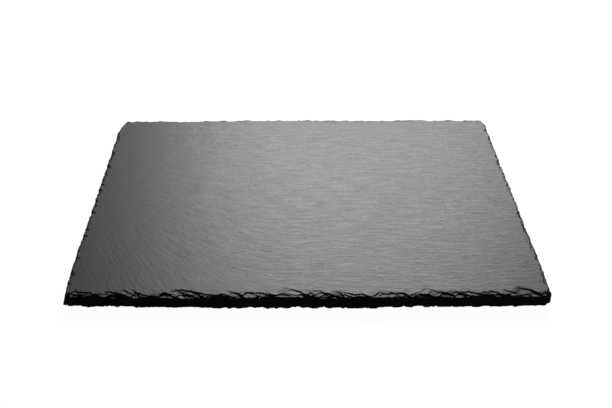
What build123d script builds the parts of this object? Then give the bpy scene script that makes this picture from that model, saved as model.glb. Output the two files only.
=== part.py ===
from build123d import *

import math
import os
import random
from dataclasses import dataclass

# A slate serving board, in millimetres. X runs along it, Y from front to back and Z up.
# The origin is on the table, under the middle of the board.
# The slab is riven slate, dressed by hand, so that flakes have sprung off all round its edge.
# It stands on four rubber feet, and a disc of adhesive holds each of them to the slab.

# Slab
board_length = 300.0
board_depth = 220.0
slab_thickness = 9.0

# The outline isn't quite square: the left end is less deep, and the front and back edges bulge
left_end_loss = 4.5
front_bulge = 1.6
back_bulge = 1.5

# Broken corners: how much each one takes off the front or back edge, then off the side
front_left_cut = (2.5, 2.5)
front_right_cut = (3.0, 4.0)
back_right_cut = (3.0, 6.0)
back_left_cut = (4.0, 18.0)

# Outline between the corners: the distance between its bends, how far in a bend may lie,
# and how far along, as a share of that distance
bend_pitch = 11.0
front_bend_depth = 0.9
back_bend_depth = 1.1
side_bend_depth = 0.4
bend_shift = 0.25

# How far the top of the edge lies inside the bottom, because its face leans in
edge_lean = 0.9

# How hard each edge was dressed, as a share of the full size of its scars, ledges and hollows
front_wear = 1.0
back_wear = 0.7
side_wear = 0.55

# Flake scars in the top edge. Each pair is the least and the most, and angles are in degrees
scar_pitch = 7.5
scar_reach = (1.5, 5.5)  # from the outline in to the step
scar_step = (0.05, 0.35)  # height of the step at its innermost point
scar_slope = (3.0, 12.0)  # fall of the scar's floor towards the outline
scar_lean = (-1.5, 11.0)  # fall of the floor along the outline, so that most steps fade to one side
scar_radius = (6.0, 15.0)
scar_flare = (10.0, 40.0)  # lean of the step's face away from upright
scar_sides = (7, 10)  # of an angular scar
rounded_share = 0.6  # of all scars, and the others are angular

# Ledges: lower scars of the same kind, which leave a second step below the first
ledge_pitch = 14.0
ledge_reach = (1.0, 3.0)
ledge_step = (1.3, 2.6)

# Largest scar, where a wide thin flake came off near the front right corner
large_scar_from_corner = 20.0
large_scar_reach = 8.0
large_scar_step = 0.15
large_scar_slope = 3.0
large_scar_lean = 4.0
large_scar_radius = 22.0
large_scar_flare = 20.0

# Chips in the bottom edge: round bites, tilted down towards the table, of the same size all round
chip_pitch = 8.5
chip_radius = (3.5, 10.0)
chip_bite = (0.6, 1.2)
chip_tilt = (25.0, 50.0)

# Hollows in the face of the edge: shallow round bites, nearly level
hollow_pitch = 18.0
hollow_radius = (14.0, 30.0)
hollow_bite = (0.3, 0.7)
hollow_tilt = (-12.0, 12.0)
hollow_height = (2.5, 5.0)  # above the bottom of the slab

# Where a scar, ledge, chip or hollow may lie in its share of the edge, which runs from 0 to 1
spot_range = (0.15, 0.85)

# Feet: a blunt cone of rubber with a bevelled lower rim, widest where it is stuck on
foot_height = 2.0
foot_diameter = 12.0
foot_taper = 0.7  # how much narrower the lower face is, all round
foot_rim_bevel = 0.5
foot_inset = 28.0  # from the board's edges to the middle of a foot

# Adhesive discs
adhesive_thickness = 0.2
adhesive_margin = 0.5  # bare rubber left round the disc

# What stands on a surface is centred over the origin, with its lowest face at zero
standing = (Align.CENTER, Align.CENTER, Align.MIN)

# A round cutter's seam is turned away from the slab
seam_outwards = Rot(0, 0, -90)


@dataclass
class Stretch:
    name: str
    place: Location  # x along the edge, y into the slab and z up from the slab's bottom
    length: float
    bend_depth: float
    bulge: float  # how far the outline stands out from the straight line at half its length
    wear: float  # share of the full size of what has broken off

    def outline(self, x):
        """Where the outline is, square to the straight line."""
        return -self.bulge * (1 - (2 * x / self.length - 1) ** 2)


def edge_stretches():
    """The eight stretches of the edge, anticlockwise: four sides and four broken corners."""
    right = board_length / 2
    front = -board_depth / 2 + front_bulge
    back_right = board_depth / 2 - back_bulge
    back_left = back_right - left_end_loss
    starts = [
        ("front", Vector(-right + front_left_cut[0], front), front_bend_depth, front_bulge, front_wear),
        ("front right corner", Vector(right - front_right_cut[0], front), 0, 0, side_wear),
        ("right", Vector(right, front + front_right_cut[1]), side_bend_depth, 0, side_wear),
        ("back right corner", Vector(right, back_right - back_right_cut[1]), 0, 0, side_wear),
        ("back", Vector(right - back_right_cut[0], back_right), back_bend_depth, back_bulge, back_wear),
        ("back left corner", Vector(-right + back_left_cut[0], back_left), 0, 0, side_wear),
        ("left", Vector(-right, back_left - back_left_cut[1]), side_bend_depth, 0, side_wear),
        ("front left corner", Vector(-right, front + front_left_cut[1]), 0, 0, side_wear),
    ]
    stretches = []
    for (name, start, bend_depth, bulge, wear), (_, end, *_) in zip(starts, starts[1:] + starts[:1]):
        run = end - start
        place = Plane(origin=start, x_dir=run.normalized(), z_dir=(0, 0, 1)).location
        stretches.append(Stretch(name, place, run.length, bend_depth, bulge, wear))
    return stretches


def outline_face(stretches, inset, height):
    """The outline at one height, which bends a little inwards here and there."""
    outline = []
    for stretch in stretches:
        dice = random.Random(f"bends {stretch.name}")
        spots = [(0, 0)]
        count = round(stretch.length / bend_pitch)
        for bend in range(1, count):
            x = (bend + dice.uniform(-bend_shift, bend_shift)) * stretch.length / count
            spots.append((x, stretch.outline(x) + dice.uniform(0, stretch.bend_depth)))
        for x, y in spots:
            outline.append((stretch.place * Pos(x, y + inset, height)).position)
    return make_face(Polyline(*outline, close=True))


def undressed_slab(stretches):
    """The slab before it is dressed, with an edge that leans in towards the top."""
    bottom = outline_face(stretches, 0, 0)
    top = outline_face(stretches, edge_lean, slab_thickness)
    return loft([bottom, top], ruled=True)


def scar_cutter(x, reach, step, slope, lean, radius, flare, sides=None):
    """A flake's shape, round or with flat sides, on a floor that falls outwards and to one side."""
    fall = math.tan(math.radians(slope)) + math.tan(math.radians(abs(lean)))
    height = step + 2 * radius * fall
    if sides is None:
        top_radius = radius + height * math.tan(math.radians(flare))
        flake = seam_outwards * Cone(radius, top_radius, height, align=standing)
    else:
        flake = seam_outwards * extrude(RegularPolygon(radius, sides), height, taper=-flare)
    innermost = Pos(x, reach, slab_thickness - step)
    return innermost * Rot(0, lean, 0) * Rot(slope, 0, 0) * Pos(0, -radius, 0) * flake


def random_scar(x, wear, dice, reach=scar_reach, step=scar_step):
    rounded = dice.random() < rounded_share
    return scar_cutter(
        x,
        reach=wear * dice.uniform(*reach),
        step=wear * dice.uniform(*step),
        slope=dice.uniform(*scar_slope),
        lean=dice.uniform(*scar_lean),
        radius=dice.uniform(*scar_radius),
        flare=dice.uniform(*scar_flare),
        sides=None if rounded else round(dice.uniform(*scar_sides)),
    )


def random_ledge(x, wear, dice):
    return random_scar(x, wear, dice, ledge_reach, ledge_step)


def bite_cutter(x, z, radius, bite, tilt):
    """A ball that bites into the outline at height z, from outside and, by the tilt, from below."""
    away = radius - bite
    angle = math.radians(tilt)
    centre = Pos(x, -away * math.cos(angle), z - away * math.sin(angle))
    return centre * seam_outwards * Sphere(radius)


def random_chip(x, _, dice):
    return bite_cutter(
        x,
        z=0,
        radius=dice.uniform(*chip_radius),
        bite=dice.uniform(*chip_bite),
        tilt=dice.uniform(*chip_tilt),
    )


def random_hollow(x, wear, dice):
    return bite_cutter(
        x,
        z=dice.uniform(*hollow_height),
        radius=dice.uniform(*hollow_radius),
        bite=wear * dice.uniform(*hollow_bite),
        tilt=dice.uniform(*hollow_tilt),
    )


def cut_along_edge(slab, stretches, kind, pitch, make_cutter):
    """Takes one cutter's shape out of each share of the edge, about a pitch long."""
    cutters = []
    for stretch in stretches:
        dice = random.Random(f"{kind} {stretch.name}")
        count = round(stretch.length / pitch)
        for share in range(count):
            x = (share + dice.uniform(*spot_range)) * stretch.length / count
            cutter = make_cutter(x, stretch.wear, dice)
            cutters.append(stretch.place * Pos(0, stretch.outline(x), 0) * cutter)
    turns = 3  # neighbours overlap, so each turn takes every third cutter
    for turn in range(turns):
        slab = slab - cutters[turn::turns]
    return slab


def make_slab():
    stretches = edge_stretches()
    slab = undressed_slab(stretches)
    slab = cut_along_edge(slab, stretches, "scars", scar_pitch, random_scar)
    front = stretches[0]
    large_scar = scar_cutter(
        front.length - large_scar_from_corner,
        reach=large_scar_reach,
        step=large_scar_step,
        slope=large_scar_slope,
        lean=large_scar_lean,
        radius=large_scar_radius,
        flare=large_scar_flare,
    )
    slab = slab - front.place * large_scar
    slab = cut_along_edge(slab, stretches, "ledges", ledge_pitch, random_ledge)
    slab = cut_along_edge(slab, stretches, "chips", chip_pitch, random_chip)
    slab = cut_along_edge(slab, stretches, "hollows", hollow_pitch, random_hollow)
    whole = max(slab.solids(), key=lambda piece: piece.volume)  # a crumb that is cut loose falls away
    middle = whole.bounding_box().center()
    return Pos(-middle.X, -middle.Y, foot_height + adhesive_thickness) * whole


def make_foot():
    lower_radius = foot_diameter / 2 - foot_taper
    foot = Cone(lower_radius, foot_diameter / 2, foot_height, align=standing)
    lower_rim = foot.edges().group_by(Axis.Z)[0]
    return chamfer(lower_rim, foot_rim_bevel)


def make_adhesive():
    disc = Cylinder(foot_diameter / 2 - adhesive_margin, adhesive_thickness, align=standing)
    return Pos(0, 0, foot_height) * disc


os.makedirs("parts", exist_ok=True)

export_step(make_slab(), "parts/slate_slab.step")

foot_x = board_length / 2 - foot_inset
foot_y = board_depth / 2 - foot_inset
foot_spots = {
    "front_left": Pos(-foot_x, -foot_y, 0),
    "front_right": Pos(foot_x, -foot_y, 0),
    "back_left": Pos(-foot_x, foot_y, 0),
    "back_right": Pos(foot_x, foot_y, 0),
}
for corner, spot in foot_spots.items():
    export_step(spot * make_foot(), f"parts/foot_{corner}.step")
    export_step(spot * make_adhesive(), f"parts/adhesive_{corner}.step")
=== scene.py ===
import math

import bpy
import numpy as np
from mathutils import Matrix, Vector, noise
from mathutils.bvhtree import BVHTree
from mathutils.geometry import delaunay_2d_cdt


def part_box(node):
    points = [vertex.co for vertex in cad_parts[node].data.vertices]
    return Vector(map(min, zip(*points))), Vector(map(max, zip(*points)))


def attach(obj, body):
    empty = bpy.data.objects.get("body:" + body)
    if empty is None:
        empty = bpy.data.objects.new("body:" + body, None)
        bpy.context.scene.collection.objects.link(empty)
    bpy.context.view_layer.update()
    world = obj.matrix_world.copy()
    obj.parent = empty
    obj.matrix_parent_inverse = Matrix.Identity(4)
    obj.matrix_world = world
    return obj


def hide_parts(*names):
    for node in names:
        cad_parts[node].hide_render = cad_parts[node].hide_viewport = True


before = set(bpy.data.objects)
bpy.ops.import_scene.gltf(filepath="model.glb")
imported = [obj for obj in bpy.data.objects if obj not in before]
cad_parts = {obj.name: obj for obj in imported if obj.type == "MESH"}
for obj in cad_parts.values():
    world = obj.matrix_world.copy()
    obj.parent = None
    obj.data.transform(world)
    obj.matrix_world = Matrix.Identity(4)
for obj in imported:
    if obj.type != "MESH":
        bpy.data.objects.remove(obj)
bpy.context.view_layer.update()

scene = bpy.context.scene
scene.view_settings.view_transform = "Standard"


# Small helpers for node trees: a value is a plain number or colour, or a socket to link from
def addNode(tree, kind, values=None, **settings):
    made = tree.nodes.new(kind)
    for name, value in settings.items():
        setattr(made, name, value)
    for name, value in (values or {}).items():
        if isinstance(value, bpy.types.NodeSocket):
            tree.links.new(value, made.inputs[name])
        else:
            made.inputs[name].default_value = value
    return made


def addMath(tree, operation, *values):
    return addNode(tree, "ShaderNodeMath", dict(enumerate(values)), operation=operation).outputs[0]


def addVector(tree, operation, *values):
    return addNode(tree, "ShaderNodeVectorMath", dict(enumerate(values)), operation=operation).outputs[0]


def addScaled(tree, vector, scale):
    return addNode(tree, "ShaderNodeVectorMath", {0: vector, "Scale": scale}, operation="SCALE").outputs[0]


def addAxes(tree, vector):
    return addNode(tree, "ShaderNodeSeparateXYZ", {0: vector}).outputs


def addCombined(tree, x=0.0, y=0.0, z=0.0):
    return addNode(tree, "ShaderNodeCombineXYZ", {0: x, 1: y, 2: z}).outputs[0]


def addBump(tree, height, distance):
    values = {"Strength": 1.0, "Distance": distance, "Height": height}
    return addNode(tree, "ShaderNodeBump", values).outputs[0]


def addCentred(tree, value, strength):
    # a value from 0 to 1 made to swing about 0
    return addMath(tree, "MULTIPLY", addMath(tree, "SUBTRACT", value, 0.5), strength)


def addEase(tree, value, fromLow, fromHigh, toLow=0.0, toHigh=1.0):
    values = {"Value": value, "From Min": fromLow, "From Max": fromHigh, "To Min": toLow, "To Max": toHigh}
    made = addNode(tree, "ShaderNodeMapRange", values, interpolation_type="SMOOTHSTEP")
    return made.outputs["Result"]


def addNoise(tree, vector, scale=1.0, detail=2.0, roughness=0.5):
    values = {"Vector": vector, "Scale": scale, "Detail": detail, "Roughness": roughness}
    return addNode(tree, "ShaderNodeTexNoise", values).outputs[0]


def newGroup(name, kind, inputs, outputs):
    tree = bpy.data.node_groups.new(name, kind)
    for label, socketKind, value in inputs:
        socket = tree.interface.new_socket(label, in_out="INPUT", socket_type=socketKind)
        if value is not None:
            socket.default_value = value
    for label, socketKind in outputs:
        tree.interface.new_socket(label, in_out="OUTPUT", socket_type=socketKind)
    return tree, tree.nodes.new("NodeGroupInput").outputs, tree.nodes.new("NodeGroupOutput").inputs


def useGroup(tree, group, values):
    made = tree.nodes.new("ShaderNodeGroup")
    made.node_tree = group
    for name, value in values.items():
        made.inputs[name].default_value = value
    return made.outputs


def newMaterial(name):
    made = bpy.data.materials.new(name)
    made.use_nodes = True
    made.node_tree.nodes.clear()
    out = made.node_tree.nodes.new("ShaderNodeOutputMaterial")
    return made, made.node_tree, out.inputs["Surface"]


# Camera, in metres and degrees, worked out from the photograph's perspective
shot = {
    "place": (-0.01294, -0.46484, 0.33643),
    "down": 35.681,
    "right": 1.592,
    "roll": 0.996,
    "lens": 46.641,
    "sensor": 36.0,
    "nearest": 0.01,
}


def makeCamera():
    down, right, roll = (math.radians(shot[name]) for name in ("down", "right", "roll"))
    level = Vector((math.sin(right), math.cos(right), 0))
    ahead = level * math.cos(down) - Vector((0, 0, math.sin(down)))
    across = Vector((math.cos(right), -math.sin(right), 0))
    up = across.cross(ahead)
    rolledAcross = across * math.cos(roll) + up * math.sin(roll)
    rolledUp = up * math.cos(roll) - across * math.sin(roll)
    data = bpy.data.cameras.new("camera")
    data.lens = shot["lens"]
    data.sensor_width = shot["sensor"]
    data.clip_start = shot["nearest"]
    camera = bpy.data.objects.new("camera", data)
    turn = Matrix((rolledAcross, rolledUp, -ahead)).transposed().to_4x4()
    camera.matrix_world = Matrix.Translation(shot["place"]) @ turn
    scene.collection.objects.link(camera)
    scene.camera = camera


makeCamera()
print("camera set")


# Light: one large soft box behind the board and to its right, over a dim room
studio = {
    "boxPlace": (0.12, 0.80, 0.632),
    "boxAim": (0.02, 0.02, 0.0),
    "boxSize": (0.67, 0.5),
    "boxPower": 11.5,
    "roomLight": 0.035,
    "floorNear": 0.975,  # how white the floor is in full shadow, beside the board
    "floorFar": 0.99,
    "floorReach": (0.18, 0.45),  # from near to far, from the middle of the board
    "floorLit": 0.12,
    "floorBounce": 0.025,  # the grey that the board's dark sides are lit by
    "floorSize": 60.0,
}


def makeLights():
    data = bpy.data.lights.new("softBox", "AREA")
    data.shape = "RECTANGLE"
    data.size, data.size_y = studio["boxSize"]
    data.energy = studio["boxPower"]
    box = bpy.data.objects.new("softBox", data)
    place = Vector(studio["boxPlace"])
    aim = Vector(studio["boxAim"]) - place
    box.matrix_world = Matrix.Translation(place) @ aim.to_track_quat("-Z", "Y").to_matrix().to_4x4()
    scene.collection.objects.link(box)
    world = bpy.data.worlds.new("room")
    world.use_nodes = True
    tree = world.node_tree
    seen = addNode(tree, "ShaderNodeLightPath").outputs["Is Camera Ray"]  # white behind the floor's far end
    strength = addMath(tree, "MAXIMUM", seen, studio["roomLight"])
    tree.nodes["Background"].inputs["Color"].default_value = (1, 1, 1, 1)
    tree.links.new(strength, tree.nodes["Background"].inputs["Strength"])
    scene.world = world


def makeFloor():
    material, tree, surface = newMaterial("paleFloor")
    path = addNode(tree, "ShaderNodeLightPath").outputs
    seen = addMath(tree, "MAXIMUM", path["Is Camera Ray"], path["Is Glossy Ray"])
    seen = addMath(tree, "MAXIMUM", seen, path["Is Transmission Ray"])
    place = addNode(tree, "ShaderNodeTexCoord").outputs["Object"]
    away = addNode(tree, "ShaderNodeVectorMath", {0: place}, operation="LENGTH").outputs["Value"]
    near, far = studio["floorReach"]
    white = addEase(tree, away, near, far, studio["floorNear"], studio["floorFar"])
    glow = addNode(tree, "ShaderNodeEmission", {"Strength": white}).outputs[0]
    lit, bounce = studio["floorLit"], studio["floorBounce"]
    pale = addNode(tree, "ShaderNodeBsdfDiffuse", {"Color": (lit, lit, lit, 1)}).outputs[0]
    dim = addNode(tree, "ShaderNodeBsdfDiffuse", {"Color": (bounce, bounce, bounce, 1)}).outputs[0]
    bright = addNode(tree, "ShaderNodeAddShader", {0: pale, 1: glow}).outputs[0]
    shown = addNode(tree, "ShaderNodeMixShader", {0: seen, 1: dim, 2: bright}).outputs[0]
    clear = addNode(tree, "ShaderNodeBsdfTransparent").outputs[0]
    behind = addNode(tree, "ShaderNodeNewGeometry").outputs["Backfacing"]  # seen from under the floor
    final = addNode(tree, "ShaderNodeMixShader", {0: behind, 1: shown, 2: clear}).outputs[0]
    tree.links.new(final, surface)
    material.cycles.emission_sampling = "NONE"  # the floor's white only shows, and lights nothing by itself
    half = studio["floorSize"] / 2
    corners = [(-half, -half, 0), (half, -half, 0), (half, half, 0), (-half, half, 0)]
    mesh = bpy.data.meshes.new("floor")
    mesh.from_pydata(corners, [], [(0, 1, 2, 3)])
    mesh.materials.append(material)
    floor = bpy.data.objects.new("floor", mesh)
    scene.collection.objects.link(floor)


makeLights()
makeFloor()
print("lights and floor set")


# Finishes: the grain that they share, the slate's riven streaks, and the broken stone
slateColour = (0.032, 0.0322, 0.033)


def makeGrainGroup():
    tree, given, result = newGroup(
        "stoneGrain",
        "ShaderNodeTree",
        [
            ("Size", "NodeSocketFloat", 0.0004),
            ("Contrast", "NodeSocketFloat", 0.2),
            ("Cloud Size", "NodeSocketFloat", 0.03),
            ("Cloud Contrast", "NodeSocketFloat", 0.12),
        ],
        [("Tone", "NodeSocketFloat"), ("Height", "NodeSocketFloat")],
    )
    place = addNode(tree, "ShaderNodeTexCoord").outputs["Object"]
    fine = addNoise(tree, place, addMath(tree, "DIVIDE", 1.0, given["Size"]), detail=3.0, roughness=0.6)
    cloud = addNoise(tree, place, addMath(tree, "DIVIDE", 1.0, given["Cloud Size"]), detail=4.0)
    fineTone = addCentred(tree, fine, given["Contrast"])
    cloudTone = addCentred(tree, cloud, given["Cloud Contrast"])
    tone = addMath(tree, "ADD", addMath(tree, "ADD", fineTone, cloudTone), 1.0)
    tree.links.new(tone, result["Tone"])
    tree.links.new(fine, result["Height"])
    return tree


def makeStreakGroup():
    # streaks lie along X, and over the front left of the board they slant from back left to front right
    tree, given, result = newGroup(
        "rivenStreaks",
        "ShaderNodeTree",
        [
            ("Length", "NodeSocketFloat", 0.009),
            ("Width", "NodeSocketFloat", 0.0009),
            ("Bend Start", "NodeSocketFloat", -0.02),  # along X, and they bend to the left of it
            ("Bend Reach", "NodeSocketFloat", 0.06),
            ("Bend Back", "NodeSocketFloat", 0.06),  # along Y, from no bend to the full one
            ("Bend Front", "NodeSocketFloat", -0.08),
            ("Shorten", "NodeSocketFloat", 2.5),  # how fast they get shorter to the left of the bend's start
            ("Widen", "NodeSocketFloat", 2.4),  # times wider where they are bent
            ("Widen From", "NodeSocketFloat", 0.01),  # to the left of the bend's start
            ("Widen To", "NodeSocketFloat", 0.07),
            ("Levels", "NodeSocketFloat", 7.0),
            ("Softness", "NodeSocketFloat", 0.2),
            ("Layer", "NodeSocketFloat", 0.0),
            ("Layer Rate", "NodeSocketFloat", 900.0),  # layers per metre of height
        ],
        [("Height", "NodeSocketFloat"), ("Edge", "NodeSocketFloat")],
    )
    axes = addAxes(tree, addNode(tree, "ShaderNodeTexCoord").outputs["Object"])
    left = addMath(tree, "MAXIMUM", addMath(tree, "SUBTRACT", given["Bend Start"], axes["X"]), 0.0)
    square = addMath(tree, "MULTIPLY", left, left)
    bend = addMath(tree, "MULTIPLY", addMath(tree, "DIVIDE", square, given["Bend Reach"]), 0.5)
    front = addEase(tree, axes["Y"], given["Bend Back"], given["Bend Front"])
    run = addMath(tree, "SUBTRACT", axes["X"], addMath(tree, "MULTIPLY", square, given["Shorten"]))
    across = addMath(tree, "SUBTRACT", axes["Y"], addMath(tree, "MULTIPLY", bend, front))
    layer = addMath(tree, "ADD", given["Layer"], addMath(tree, "MULTIPLY", axes["Z"], given["Layer Rate"]))

    def streaksOf(width):
        runShare = addMath(tree, "DIVIDE", run, given["Length"])
        acrossShare = addMath(tree, "DIVIDE", across, width)
        return addNoise(tree, addCombined(tree, runShare, acrossShare, layer), detail=1.0, roughness=0.5)

    straight = streaksOf(given["Width"])
    bent = streaksOf(addMath(tree, "MULTIPLY", given["Width"], given["Widen"]))
    mix = addEase(tree, left, given["Widen From"], given["Widen To"])
    change = addMath(tree, "MULTIPLY", addMath(tree, "SUBTRACT", bent, straight), mix)
    streaks = addMath(tree, "ADD", straight, change)

    # the noise is cut into levels with soft risers, and the risers are put out as edges
    levels = addMath(tree, "MULTIPLY", streaks, given["Levels"])
    lower = addMath(tree, "FLOOR", levels)
    start = addMath(tree, "SUBTRACT", 0.5, given["Softness"])
    end = addMath(tree, "ADD", 0.5, given["Softness"])
    rise = addEase(tree, addMath(tree, "SUBTRACT", levels, lower), start, end)
    height = addMath(tree, "DIVIDE", addMath(tree, "ADD", lower, rise), given["Levels"])
    slack = addMath(tree, "ABSOLUTE", addMath(tree, "SUBTRACT", addMath(tree, "MULTIPLY", rise, 2.0), 1.0))
    tree.links.new(height, result["Height"])
    tree.links.new(addMath(tree, "SUBTRACT", 1.0, slack), result["Edge"])
    return tree


grainGroup = makeGrainGroup()
streakGroup = makeStreakGroup()


def shadeColour(tree, colour, tone):
    # the colour made lighter or darker by a tone around 1
    return addVector(tree, "MULTIPLY", addCombined(tree, tone, tone, tone), colour)


def makeGrainy(name, look):
    # an even material whose tone, roughness and relief follow its grain
    material, tree, surface = newMaterial(name)
    grain = useGroup(tree, grainGroup, look["grain"])
    change = addMath(tree, "MULTIPLY", grain["Height"], look["roughnessRange"])
    values = {
        "Base Color": shadeColour(tree, look["colour"], grain["Tone"]),
        "Roughness": addMath(tree, "ADD", change, look["roughness"]),
        "Specular IOR Level": look["specular"],
        "Normal": addBump(tree, grain["Height"], look["bump"]),
    }
    tree.links.new(addNode(tree, "ShaderNodeBsdfPrincipled", values).outputs[0], surface)
    return material


rivenLook = {
    "grain": {"Size": 0.00045, "Contrast": 0.5, "Cloud Size": 0.035, "Cloud Contrast": 0.2},
    "fine": {"Length": 0.006, "Width": 0.0013, "Levels": 6.0, "Softness": 0.3, "Layer": 0.0},
    "wide": {"Length": 0.011, "Width": 0.0019, "Levels": 6.0, "Softness": 0.25, "Layer": 40.0},
    "bands": {"Length": 0.016, "Width": 0.0022, "Levels": 6.0, "Softness": 0.3, "Layer": 80.0},
    "fineRelief": 0.5,
    "wideRelief": 0.7,
    "grainRelief": 0.06,
    "reliefSpan": (-0.13, 0.05),  # along X, from the smoother left to the rest
    "reliefStrength": (0.4, 1.05),
    "bump": 0.0002,
    "reliefTone": 0.8,
    "middleTone": 1.02,
    "paintedRiserShade": 0.1,  # painted shade: how much darker the streaks' risers are made, as if in shadow
    "roughSpan": (0.0, 0.07),  # along X
    "roughness": (0.43, 0.441),
    "edgeRoughness": 0.06,
    "bandRoughness": 0.12,
    "scarRoughness": 0.05,  # added where a flake has come off
}


def makeFaceSlate():
    material, tree, surface = newMaterial("rivenSlate")
    grain = useGroup(tree, grainGroup, rivenLook["grain"])
    fine, wide, bands = (useGroup(tree, streakGroup, rivenLook[name]) for name in ("fine", "wide", "bands"))
    fromLeft = addAxes(tree, addNode(tree, "ShaderNodeTexCoord").outputs["Object"])["X"]
    edges = addMath(tree, "MAXIMUM", fine["Edge"], wide["Edge"])
    broken = addNode(tree, "ShaderNodeAttribute", attribute_name="broken").outputs["Fac"]

    # relief
    fineRelief = addCentred(tree, fine["Height"], rivenLook["fineRelief"])
    wideRelief = addCentred(tree, wide["Height"], rivenLook["wideRelief"])
    grainRelief = addMath(tree, "MULTIPLY", grain["Height"], rivenLook["grainRelief"])
    strength = addEase(tree, fromLeft, *rivenLook["reliefSpan"], *rivenLook["reliefStrength"])
    relief = addMath(tree, "MULTIPLY", addMath(tree, "ADD", fineRelief, wideRelief), strength)
    relief = addMath(tree, "ADD", relief, grainRelief)

    # tone, with painted shade along the streaks' risers
    layerTone = addMath(tree, "MULTIPLY", relief, rivenLook["reliefTone"])
    layerTone = addMath(tree, "ADD", layerTone, rivenLook["middleTone"])
    # painted shade: the colour is darkened on the streaks' risers, where shade would fall
    layerTone = addMath(tree, "SUBTRACT", layerTone, addMath(tree, "MULTIPLY", edges, rivenLook["paintedRiserShade"]))
    tone = addMath(tree, "MULTIPLY", grain["Tone"], layerTone)

    # roughness
    rough = addEase(tree, fromLeft, *rivenLook["roughSpan"], *rivenLook["roughness"])
    rough = addMath(tree, "ADD", rough, addMath(tree, "MULTIPLY", edges, rivenLook["edgeRoughness"]))
    rough = addMath(tree, "ADD", rough, addCentred(tree, bands["Height"], rivenLook["bandRoughness"]))
    rough = addMath(tree, "ADD", rough, addMath(tree, "MULTIPLY", broken, rivenLook["scarRoughness"]))
    values = {
        "Base Color": shadeColour(tree, slateColour, tone),
        "Roughness": rough,
        "Normal": addBump(tree, relief, rivenLook["bump"]),
    }
    tree.links.new(addNode(tree, "ShaderNodeBsdfPrincipled", values).outputs[0], surface)
    return material


brokenLook = {
    "grain": {"Size": 0.0006, "Contrast": 0.7, "Cloud Size": 0.012, "Cloud Contrast": 0.5},
    "colour": slateColour,
    "roughness": 0.75,
    "roughnessRange": 0.2,
    "specular": 0.05,
    "bump": 0.0002,
}

faceSlate = makeFaceSlate()
brokenSlate = makeGrainy("brokenSlate", brokenLook)
print("slate mixed")


# Slab: profiles all round the edge, read off the solid and then roughened, with the two faces filled in
slab = {
    "station": 0.00062,  # from one profile to the next along the edge
    "fanInset": 0.012,  # each profile fans out from a point this far inside the outline
    "ringInset": 0.010,  # where the profiles end on the top and bottom faces
    "fineInset": 0.0086,  # nearer to the edge than this the points on the top are close together
    "topStep": 0.00033,
    "wallStep": 0.0006,
    "bottomStep": 0.0011,
    "wideStep": 0.0012,
    "wander": ((0.0055, 0.0008), (0.002, 0.0003)),  # size and depth of the waves in the scars' outlines
    "seeds": (7.3, 51.8),  # for the waves along the edge and across it
    "scarStart": 0.00003,  # stone lost, from where a face counts as broken to where it fully does
    "scarFull": 0.00013,
    "faceStep": 0.0035,  # spacing of the points inside the two faces
    "faceShake": 0.2,  # share of the spacing
    "faceMargin": 0.6,  # the same share, from the profiles' ends to the first points
    "longestRay": 1.0,
    "faceSeed": 11,
    "mergeGap": 1e-9,
}

# The outline's own unevenness: waves along the back, and the two front corners, which are knocked off
outline = {
    "fade": 0.010,  # how far in from the edge the waves and the lean are felt
    "waveLength": 0.0055,
    "waveDepth": 0.0014,
    "waveSeed": 7.3,
    "cornerCut": (0.0046, 0.0023),  # along the front and along the side
    "leanTop": 0.0025,  # how far the top of the left edge is set in at the front corner
    "leanBottom": -0.0005,
    "leanLength": 0.020,
}

# Flakes that have sprung off the edge, over the scars that the solid has: thin layers that add up, deeper
# ones, nicks along the sides and the back, and small chips at the bottom
topFlakes = {
    "thin": {
        "pitch": 0.0055,
        "reach": (0.003, 0.008),
        "halfWidth": (0.0045, 0.015),
        "step": (0.0, 0.0003),
        "slope": (-0.5, 1.6),  # degrees, outwards
        "lean": (-0.8, 2.8),  # degrees, along the edge
        "ragged": 0.0007,
        "wear": {"front": 1.0, "back": 0.7, "left": 0.5, "right": 0.5},  # share of its full reach and depth
    },
    "deep": {
        "pitch": 0.011,
        "reach": (0.002, 0.005),
        "halfWidth": (0.005, 0.013),
        "step": (0.0002, 0.001),
        "slope": (-1.0, 1.5),
        "lean": (-2.0, 4.0),
        "ragged": 0.0005,
        "wear": {"front": 1.0, "back": 0.7, "left": 0.5, "right": 0.5},
    },
    "nicks": {
        "pitch": 0.0045,
        "reach": (0.0014, 0.005),
        "halfWidth": (0.0018, 0.006),
        "step": (0.0, 0.0002),
        "slope": (5.0, 17.0),
        "lean": (-8.0, 8.0),
        "ragged": 0.0005,
        "wear": {"front": 0.0, "back": 0.4, "left": 1.0, "right": 0.85},
    },
}
bottomFlakes = {
    "chips": {
        "pitch": 0.0055,
        "reach": (0.0006, 0.0022),
        "halfWidth": (0.0015, 0.0045),
        "step": (0.0, 0.0002),
        "slope": (10.0, 35.0),
        "lean": (-6.0, 6.0),
        "ragged": 0.0003,
        "wear": {"front": 1.0, "back": 0.7, "left": 0.5, "right": 0.5},
    },
}
flakeShape = {
    "skew": (-0.6, 0.1),  # where a flake reaches furthest in, as a share of its half width
    "bow": (1.0, 1.7),  # from 1, a flake with straight sides, to 2, a round one
    "knot": 0.0015,  # from one corner of its broken outline to the next
    "seed": 7,
}

cleavage = {
    "Layer Thickness": 0.0007,
    "Layer Wander": 0.0005,
    "Wander Size": 0.007,
    "Riser Start": 0.3,  # share of a layer's thickness
    "Riser End": 0.7,
    "Step Share": 0.75,
    "Shelf Depth": 0.00044,
    "Shelf Rate": 140.0,  # waves per metre along a shelf
    "Shelf Shift": 5.7,  # from one shelf's waves to the next one's
    "Grain Depth": 0.00024,
    "Grain Size": 0.0012,
    "Swell Height": 0.00022,
    "Swell Size": 0.055,
    "Sharp Angle": math.radians(28),
    "Steepest Face": 0.86,  # upward share of the normal, down to which a face shows the riven finish
    "Seed": 3.0,
}


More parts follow.
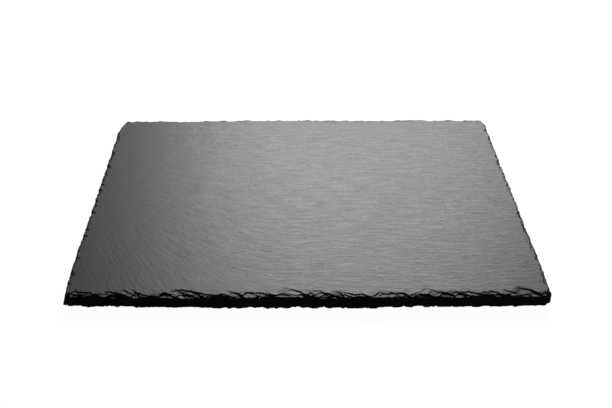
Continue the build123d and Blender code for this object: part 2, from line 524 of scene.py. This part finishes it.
def profileRows(low, high):
    # (distance in from the outline, height, distance along the profile) for each row
    wide = np.arange(slab["ringInset"], slab["fineInset"] + slab["wideStep"] / 2, -slab["wideStep"])
    top = np.arange(slab["fineInset"], slab["topStep"] / 2, -slab["topStep"])
    bottom = np.arange(slab["bottomStep"], slab["ringInset"], slab["bottomStep"])
    height = high - low
    rows = [(inset, high, -inset) for inset in np.concatenate([wide, top])]
    wallCount = round(height / slab["wallStep"])
    for k in range(wallCount + 1):
        down = height * k / wallCount
        rows.append((0.0, high - down, down))
    rows += [(inset, low, height + inset) for inset in bottom]
    return np.array(rows)


def edgeStations(halfX, halfY):
    # points round the box's outline, anticlockwise, and the points that their profiles fan out from
    corners = np.array([(-halfX, -halfY), (halfX, -halfY), (halfX, halfY), (-halfX, halfY)])
    outer = []
    for start, end in zip(corners, np.roll(corners, -1, axis=0)):
        count = round(np.linalg.norm(end - start) / slab["station"])
        outer.append(start + np.linspace(0, 1, count, endpoint=False)[:, None] * (end - start))
    outer = np.concatenate(outer)
    limit = np.array([halfX, halfY]) - slab["fanInset"]
    return outer, np.clip(outer, -limit, limit)


def readDepths(solid, origins, aims):
    # how far under the undressed box each ray leaves the solid
    tree = BVHTree.FromPolygons([v.co for v in solid.vertices], [p.vertices for p in solid.polygons])
    reach = np.linalg.norm(aims - origins, axis=2)
    depths = np.zeros(reach.shape)
    for station, row in np.ndindex(reach.shape):
        origin = Vector(origins[station, 0])
        aim = Vector(aims[station, row]) - origin
        hit = tree.ray_cast(origin, aim, slab["longestRay"])[3]
        depths[station, row] = reach[station, row] - hit if hit is not None else 0.0
    return depths, reach


def wanderDepths(depths, aims, along):
    # the same scars with outlines that wander, as stone breaks
    shift = np.zeros(aims.shape[:2] + (2,))
    seeds = [Vector((seed, 0, 0)) for seed in slab["seeds"]]
    for size, depth in slab["wander"]:
        for spotIndex in np.ndindex(depths.shape):
            spot = Vector(aims[spotIndex]) / size
            shift[spotIndex] += [noise.noise(spot + seed) * depth for seed in seeds]
    stations, rows = depths.shape
    station = np.arange(stations)[:, None] + shift[..., 0] / slab["station"]
    row = np.interp(along[None, :] + shift[..., 1], along, np.arange(rows))
    before = np.floor(station).astype(int)
    above = np.minimum(np.floor(row).astype(int), rows - 2)
    onward = station - before
    down = row - above

    def depthAt(index):
        return depths[index % stations, above] * (1 - down) + depths[index % stations, above + 1] * down

    return depthAt(before) * (1 - onward) + depthAt(before + 1) * onward


def knockOutline(ring, outer, inner, low, high):
    # cuts the front corners, leans the left edge in over its front end, and waves the back edge
    cutX, cutY = outline["cornerCut"]
    cornerIn = slab["fanInset"] / cutX + slab["fanInset"] / cutY
    cornerOut = (high.x - abs(outer[:, 0])) / cutX + (outer[:, 1] + high.y) / cutY
    kept = np.where(cornerOut < 1, (cornerIn - 1) / (cornerIn - np.minimum(cornerOut, 1)), 1.0)
    ring[..., :2] = inner[:, None, :] + (ring[..., :2] - inner[:, None, :]) * kept[:, None, None]
    fromFront = np.clip(1 - (ring[..., 1] + high.y) / outline["leanLength"], 0, 1)
    fromLeft = np.clip(1 - (ring[..., 0] + high.x) / outline["fade"], 0, 1)
    up = (ring[..., 2] - low.z) / (high.z - low.z)
    lean = outline["leanBottom"] + (outline["leanTop"] - outline["leanBottom"]) * up
    ring[..., 0] += lean * fromFront * fromLeft
    waves = [noise.noise(Vector((x / outline["waveLength"], outline["waveSeed"], 0))) for x in outer[:, 0]]
    fromBack = np.clip(1 - (high.y - ring[..., 1]) / outline["fade"], 0, 1)
    ring[..., 1] += np.array(waves)[:, None] * outline["waveDepth"] * fromBack


def edgeName(outX, outY):
    # which edge faces this way
    if abs(outX) > abs(outY):
        return "left" if outX < 0 else "right"
    return "front" if outY < 0 else "back"


def springFlakes(ring, inner, along, kinds, isFace, isWall, edgeRow, face, far):
    # takes flakes off the edge between one face and the wall, and returns how far down at each point
    dice = np.random.default_rng(flakeShape["seed"])
    out = np.linalg.norm(ring[..., :2] - inner[:, None, :], axis=2)
    inset = out.max(axis=1)[:, None] - out
    length = along[-1] + slab["station"]
    drop = np.zeros(inset.shape)
    outwards = ring[:, edgeRow, :2] - inner
    for kind in kinds.values():
        count = round(length / kind["pitch"])
        for k in range(count):
            middle = (k + dice.uniform(0, 1)) * length / count
            wear = kind["wear"][edgeName(*outwards[np.searchsorted(along, middle) - 1])]
            reach, half, step = (dice.uniform(*kind[name]) for name in ("reach", "halfWidth", "step"))
            reach = reach * wear
            slope, lean = (math.tan(math.radians(dice.uniform(*kind[name]))) for name in ("slope", "lean"))
            skew, bow = (dice.uniform(*flakeShape[name]) for name in ("skew", "bow"))
            ahead = (along - middle + length / 2) % length - length / 2
            near = np.where(abs(ahead) < half)[0]
            ahead = ahead[near][:, None]
            share = ahead / half - skew
            rim = reach * (1 - (abs(share) / np.where(share < 0, 1 + skew, 1 - skew)) ** bow)
            knots = np.arange(-half, half + flakeShape["knot"], flakeShape["knot"])
            bends = dice.uniform(-kind["ragged"], kind["ragged"], len(knots)) * wear
            rim = rim + np.interp(ahead, knots, bends)
            floor = step + lean * half * share + slope * (reach - inset[near])
            drop[near] += np.where(inset[near] < rim, np.maximum(floor, 0) * wear, 0)
    height = (ring[..., 2] - far) / (face - far)  # 0 at the other face, 1 at this one
    lowered = np.minimum(height, 1 - drop / abs(face - far))
    wallTop = height[:, isWall].max(axis=1)
    share = np.minimum(lowered[:, edgeRow] / wallTop, 1)[:, None]
    changed = np.where(isFace[None, :], lowered, np.where(isWall[None, :], height * share, height))
    ring[..., 2] = far + changed * (face - far)
    return (height - changed) * abs(face - far)


def fillFace(loop, height, halfX, halfY, facingUp, points, faces):
    # closes one face inside the ring of profiles, with points on a slightly shaken grid
    rim = [Vector(points[i][:2]) for i in loop]
    margin = slab["ringInset"] + slab["faceStep"] * slab["faceMargin"]
    room = Vector((halfX - margin, halfY - margin))
    dice = np.random.default_rng(slab["faceSeed"])
    countX = int(2 * room.x / slab["faceStep"])
    countY = int(2 * room.y / slab["faceStep"])
    inner = []
    for x in np.linspace(-room.x, room.x, countX):
        for y in np.linspace(-room.y, room.y, countY):
            shake = dice.uniform(-slab["faceShake"], slab["faceShake"], 2) * slab["faceStep"]
            inner.append(Vector((x + shake[0], y + shake[1])))
    edges = [(i, (i + 1) % len(rim)) for i in range(len(rim))]
    insideOnly = 1
    made, _, triangles, origins, _, _ = delaunay_2d_cdt(rim + inner, edges, [], insideOnly, slab["mergeGap"])
    names = []
    for place, origin in zip(made, origins):
        if origin and origin[0] < len(rim):
            names.append(loop[origin[0]])
        else:
            names.append(len(points))
            points.append((place.x, place.y, height))
    for a, b, c in triangles:
        corner = [Vector(points[names[k]][:2]) for k in (a, b, c)]
        turned = (corner[1] - corner[0]).cross(corner[2] - corner[0]) > 0
        order = (a, b, c) if turned == facingUp else (a, c, b)
        faces.append(tuple(names[k] for k in order))


def roughSlab():
    low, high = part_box("slate_slab")
    halfX, halfY = high.x, high.y
    rows = profileRows(low.z, high.z)
    outer, inner = edgeStations(halfX, halfY)
    stations, count = len(outer), len(rows)
    share = 1 - rows[:, 0] / slab["fanInset"]
    aims = np.zeros((stations, count, 3))
    aims[..., :2] = inner[:, None, :] + (outer - inner)[:, None, :] * share[None, :, None]
    aims[..., 2] = rows[None, :, 1]
    origins = np.zeros((stations, 1, 3))
    origins[:, 0, :2] = inner
    origins[:, 0, 2] = (low.z + high.z) / 2
    depths, reach = readDepths(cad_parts["slate_slab"].data, origins, aims)
    depths = wanderDepths(depths, aims, rows[:, 2])
    ring = origins + (aims - origins) * (1 - depths / reach)[..., None]
    knockOutline(ring, outer, inner, low, high)
    isWall = rows[:, 0] == 0
    isTop = rows[:, 2] < 0
    isBottom = ~isWall & ~isTop
    steps = np.linalg.norm(outer - np.roll(outer, 1, axis=0), axis=1)
    along = np.cumsum(steps) - steps[0]
    lastTop, firstBottom = np.where(isTop)[0][-1], np.where(isBottom)[0][0]
    lost = depths + springFlakes(ring, inner, along, topFlakes, isTop, isWall, lastTop, high.z, low.z)
    lost += springFlakes(ring, inner, along, bottomFlakes, isBottom, isWall, firstBottom, low.z, high.z)
    scarred = (lost - slab["scarStart"]) / (slab["scarFull"] - slab["scarStart"])
    broken = np.where(isWall[None, :], 1.0, np.clip(scarred, 0, 1))
    points = [tuple(p) for p in ring.reshape(-1, 3)]
    faces = []
    for s in range(stations):
        for r in range(count - 1):
            a, b = s * count + r, (s + 1) % stations * count + r
            faces.append((a, a + 1, b + 1, b))
    topLoop = [s * count for s in range(stations)]
    bottomLoop = [s * count + count - 1 for s in range(stations)]
    fillFace(topLoop, high.z, halfX, halfY, True, points, faces)
    fillFace(bottomLoop, low.z, halfX, halfY, False, points, faces)
    mesh = bpy.data.meshes.new("slateBoard")
    mesh.from_pydata(points, [], faces, shade_flat=False)
    values = np.zeros(len(points), np.float32)
    values[:stations * count] = broken.reshape(-1)
    mesh.attributes.new("broken", "FLOAT", "POINT").data.foreach_set("value", values)
    return mesh


def addSmooth(tree, geometry, sharpAngle):
    # smooth shading, apart from the edges that are sharper than the angle
    angle = addNode(tree, "GeometryNodeInputMeshEdgeAngle").outputs["Unsigned Angle"]
    values = {0: geometry, "Shade Smooth": addMath(tree, "LESS_THAN", angle, sharpAngle)}
    return addNode(tree, "GeometryNodeSetShadeSmooth", values, domain="EDGE").outputs[0]


def makeCleavageTree():
    # stone splits in thin layers: broken slopes turn into steps, and the wall into narrow shelves
    inputs = [("Geometry", "NodeSocketGeometry", None)]
    inputs += [(name, "NodeSocketFloat", value) for name, value in cleavage.items()]
    inputs += [("Face Slate", "NodeSocketMaterial", None), ("Broken Slate", "NodeSocketMaterial", None)]
    outputs = [("Geometry", "NodeSocketGeometry")]
    tree, given, result = newGroup("cleavedEdge", "GeometryNodeTree", inputs, outputs)
    place = addNode(tree, "GeometryNodeInputPosition").outputs[0]
    normal = addNode(tree, "GeometryNodeInputNormal").outputs[0]
    broken = addNode(tree, "GeometryNodeInputNamedAttribute", {"Name": "broken"}, data_type="FLOAT")
    broken = broken.outputs[0]
    axes = addAxes(tree, place)
    facing = addAxes(tree, normal)
    seeded = addVector(tree, "ADD", place, addCombined(tree, given["Seed"], given["Seed"]))

    def swing(size, height):
        rate = addMath(tree, "DIVIDE", 1.0, size)
        return addCentred(tree, addNoise(tree, seeded, rate), height)

    # steps
    wander = swing(given["Wander Size"], given["Layer Wander"])
    layers = addMath(tree, "DIVIDE", addMath(tree, "ADD", axes["Z"], wander), given["Layer Thickness"])
    lower = addMath(tree, "FLOOR", layers)
    within = addMath(tree, "SUBTRACT", layers, lower)
    eased = addEase(tree, within, given["Riser Start"], given["Riser End"])
    stepped = addMath(tree, "MULTIPLY", addMath(tree, "ADD", lower, eased), given["Layer Thickness"])
    rise = addMath(tree, "SUBTRACT", addMath(tree, "SUBTRACT", stepped, wander), axes["Z"])
    rise = addMath(tree, "MULTIPLY", addMath(tree, "MULTIPLY", rise, given["Step Share"]), broken)

    # shelves
    spot = addScaled(tree, addCombined(tree, axes["X"], axes["Y"]), given["Shelf Rate"])
    level = addCombined(tree, z=addMath(tree, "MULTIPLY", lower, given["Shelf Shift"]))
    ledge = addCentred(tree, addNoise(tree, addVector(tree, "ADD", spot, level)), given["Shelf Depth"])
    ledge = addMath(tree, "MULTIPLY", ledge, broken)
    ledgeMove = addScaled(tree, addCombined(tree, facing["X"], facing["Y"]), ledge)

    # grain of the broken stone, and the gentle swell of the faces
    grit = addMath(tree, "MULTIPLY", swing(given["Grain Size"], given["Grain Depth"]), broken)
    gritMove = addScaled(tree, normal, grit)
    swell = swing(given["Swell Size"], given["Swell Height"])
    lift = addCombined(tree, z=addMath(tree, "ADD", rise, swell))
    move = addVector(tree, "ADD", addVector(tree, "ADD", lift, ledgeMove), gritMove)
    values = {"Geometry": given["Geometry"], "Offset": move}
    moved = addNode(tree, "GeometryNodeSetPosition", values).outputs[0]

    # sharp where the stone has broken, smooth elsewhere
    smooth = addSmooth(tree, moved, given["Sharp Angle"])
    whole = addNode(tree, "GeometryNodeRealizeInstances", {0: smooth}).outputs[0]
    values = {0: whole, "Material": given["Broken Slate"]}
    dressed = addNode(tree, "GeometryNodeSetMaterial", values).outputs[0]
    flat = addMath(tree, "GREATER_THAN", addMath(tree, "ABSOLUTE", facing["Z"]), given["Steepest Face"])
    values = {0: dressed, "Selection": flat, "Material": given["Face Slate"]}
    tree.links.new(addNode(tree, "GeometryNodeSetMaterial", values).outputs[0], result["Geometry"])
    return tree


def runTree(piece, tree, values):
    # the tree's result as the piece's own plain mesh
    modifier = piece.modifiers.new(tree.name, "NODES")
    modifier.node_group = tree
    for item in tree.interface.items_tree:
        if item.in_out == "INPUT" and item.name in values:
            modifier[item.identifier] = values[item.name]
    bpy.context.view_layer.update()
    graph = bpy.context.evaluated_depsgraph_get()
    made = bpy.data.meshes.new_from_object(piece.evaluated_get(graph))
    piece.modifiers.remove(modifier)
    piece.data = made
    made.name = piece.name


def makeSlab():
    board = bpy.data.objects.new("slateBoard", roughSlab())
    scene.collection.objects.link(board)
    values = {**cleavage, "Face Slate": faceSlate, "Broken Slate": brokenSlate}
    runTree(board, makeCleavageTree(), values)
    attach(board, "root")
    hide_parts("slate_slab")
    print("slab dressed:", len(board.data.polygons), "faces")


makeSlab()


# Feet: moulded rubber, turned about an upright axis and set under each corner, on discs of clear adhesive
foot = {
    "Sides": 72,
    "Rings": 14,
    "Fills": 4,
    "Rim": 0.0006,
    "Sharp Angle": math.radians(40),
    "taper": 0.0007,  # how much smaller the lower radius is
}
rubberLook = {
    "grain": {"Size": 0.00018, "Contrast": 0.5, "Cloud Size": 0.004, "Cloud Contrast": 0.5},
    "colour": (0.012, 0.012, 0.013),
    "roughness": 0.55,
    "roughnessRange": 0.2,
    "specular": 0.35,
    "bump": 0.00003,
}
adhesiveLook = {
    "grain": {"Size": 0.0003, "Contrast": 0.25, "Cloud Size": 0.002, "Cloud Contrast": 0.35},
    "colour": (0.4, 0.39, 0.35),
    "roughness": 0.25,
    "roughnessRange": 0.2,
    "specular": 0.5,
    "bump": 0.00002,
}


def makeFootTree():
    # a tube with closed ends, shaped to the foot's profile and then set on every given point
    tree, given, result = newGroup(
        "rubberFoot",
        "GeometryNodeTree",
        [
            ("Geometry", "NodeSocketGeometry", None),
            ("Sides", "NodeSocketInt", foot["Sides"]),
            ("Rings", "NodeSocketInt", foot["Rings"]),
            ("Fills", "NodeSocketInt", foot["Fills"]),
            ("Rim", "NodeSocketFloat", foot["Rim"]),
            ("Sharp Angle", "NodeSocketFloat", foot["Sharp Angle"]),
            ("Height", "NodeSocketFloat", 0.002),
            ("Top Radius", "NodeSocketFloat", 0.006),
            ("Bottom Radius", "NodeSocketFloat", 0.0053),
            ("Rubber", "NodeSocketMaterial", None),
        ],
        [("Geometry", "NodeSocketGeometry")],
    )
    values = {
        "Vertices": given["Sides"],
        "Side Segments": given["Rings"],
        "Fill Segments": given["Fills"],
        "Radius": 1.0,
        "Depth": 1.0,
    }
    tube = addNode(tree, "GeometryNodeMeshCylinder", values, fill_type="TRIANGLE_FAN").outputs["Mesh"]
    axes = addAxes(tree, addNode(tree, "GeometryNodeInputPosition").outputs[0])

    # rings lie closer together towards the bottom, where the rim is round
    share = addMath(tree, "MAXIMUM", addMath(tree, "ADD", axes["Z"], 0.5), 0.0)
    share = addMath(tree, "POWER", share, 2.0)
    height = addMath(tree, "MULTIPLY", share, given["Height"])
    wider = addMath(tree, "SUBTRACT", given["Top Radius"], given["Bottom Radius"])
    radius = addMath(tree, "ADD", addMath(tree, "MULTIPLY", wider, share), given["Bottom Radius"])
    rim = given["Rim"]
    under = addMath(tree, "MAXIMUM", addMath(tree, "SUBTRACT", rim, height), 0.0)  # below the rim's middle
    underSquare = addMath(tree, "MULTIPLY", under, under)
    inside = addMath(tree, "SUBTRACT", addMath(tree, "MULTIPLY", rim, rim), underSquare)
    rimOut = addMath(tree, "SQRT", addMath(tree, "MAXIMUM", inside, 0.0))
    radius = addMath(tree, "SUBTRACT", radius, addMath(tree, "SUBTRACT", rim, rimOut))
    outX = addMath(tree, "MULTIPLY", axes["X"], radius)
    outY = addMath(tree, "MULTIPLY", axes["Y"], radius)
    values = {"Geometry": tube, "Position": addCombined(tree, outX, outY, height)}
    shaped = addNode(tree, "GeometryNodeSetPosition", values).outputs[0]
    smooth = addSmooth(tree, shaped, given["Sharp Angle"])
    values = {"Points": given["Geometry"], "Instance": smooth}
    placed = addNode(tree, "GeometryNodeInstanceOnPoints", values).outputs[0]
    whole = addNode(tree, "GeometryNodeRealizeInstances", {0: placed}).outputs[0]
    dressed = addNode(tree, "GeometryNodeSetMaterial", {0: whole, "Material": given["Rubber"]}).outputs[0]
    tree.links.new(dressed, result["Geometry"])
    return tree


def makeFeet():
    corners = ("front_left", "front_right", "back_left", "back_right")
    boxes = [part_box("foot_" + corner) for corner in corners]
    spots = [((low.x + high.x) / 2, (low.y + high.y) / 2, low.z) for low, high in boxes]
    low, high = boxes[0]
    mesh = bpy.data.meshes.new("rubberFeet")
    mesh.from_pydata(spots, [], [])
    feet = bpy.data.objects.new("rubberFeet", mesh)
    scene.collection.objects.link(feet)
    radius = (high.x - low.x) / 2
    values = {
        **foot,
        "Height": high.z - low.z,
        "Top Radius": radius,
        "Bottom Radius": radius - foot["taper"],
        "Rubber": makeGrainy("mouldedRubber", rubberLook),
    }
    runTree(feet, makeFootTree(), values)
    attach(feet, "root")
    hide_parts(*("foot_" + corner for corner in corners))
    adhesive = makeGrainy("adhesiveFilm", adhesiveLook)
    for corner in corners:
        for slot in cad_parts["adhesive_" + corner].material_slots:
            slot.material = adhesive
    print("feet set:", len(feet.data.polygons), "faces")


makeFeet()
